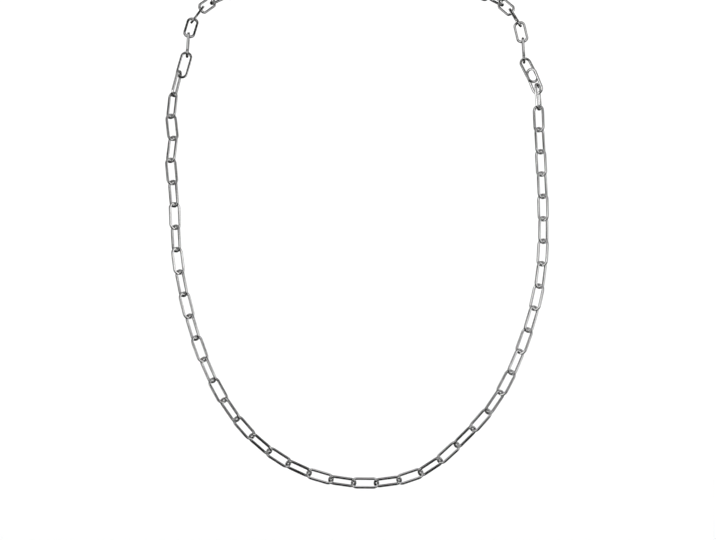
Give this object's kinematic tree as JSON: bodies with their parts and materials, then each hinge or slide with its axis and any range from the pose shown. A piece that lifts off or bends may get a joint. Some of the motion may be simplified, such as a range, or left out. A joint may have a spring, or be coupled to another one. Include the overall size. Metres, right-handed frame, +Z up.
{
  "type": "paperclip chain necklace",
  "caption": "Closed necklace of long oval silver wire links in the form it has when worn: a deep U on the chest, over both shoulders and round the nape to a small plain clasp.",
  "frame": {"origin": "middle of the clasp's neck side, where the chain rests on the nape", "axes": "+X to the right seen from the front, +Y back from the chest towards the nape, +Z up"},
  "size_m": [0.1089, 0.1063, 0.1188],
  "materials": {
    "silver": "polished"
  },
  "bodies": {
    "root": {"front_chain": "silver", "nape_chain": "silver", "clasp": "silver"}
  },
  "joints": []
}
